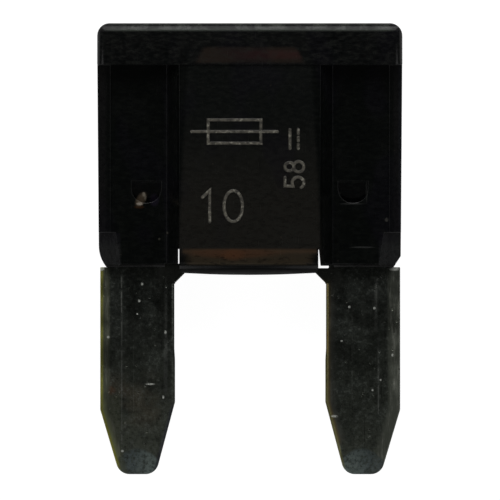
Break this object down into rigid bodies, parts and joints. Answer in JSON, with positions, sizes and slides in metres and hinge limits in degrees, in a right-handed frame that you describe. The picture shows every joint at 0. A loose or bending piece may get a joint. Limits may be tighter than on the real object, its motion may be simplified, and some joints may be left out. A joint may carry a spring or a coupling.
{
  "type": "blade fuse",
  "caption": "Small plug-in automotive blade fuse: a dark smoked moulded housing with a raised middle panel over a stamped metal strip whose flat tapered blades stand out of its foot.",
  "frame": {"origin": "under the middle of the whole fuse, which lies on its back: midway between head and blade tips, midway across the head, at the height of the back face", "axes": "+X across the blades to the right as seen from the front, +Y from the blade tips towards the head, +Z out of the front face"},
  "size_m": [0.011, 0.0164, 0.0036],
  "materials": {
    "smoked_plastic": "very dark smoked moulding, satin faces",
    "plated_strip": "dull tin plating over zinc alloy, scored by sockets"
  },
  "bodies": {
    "root": {"housing": "smoked_plastic", "fuse_element": "plated_strip"}
  },
  "joints": []
}
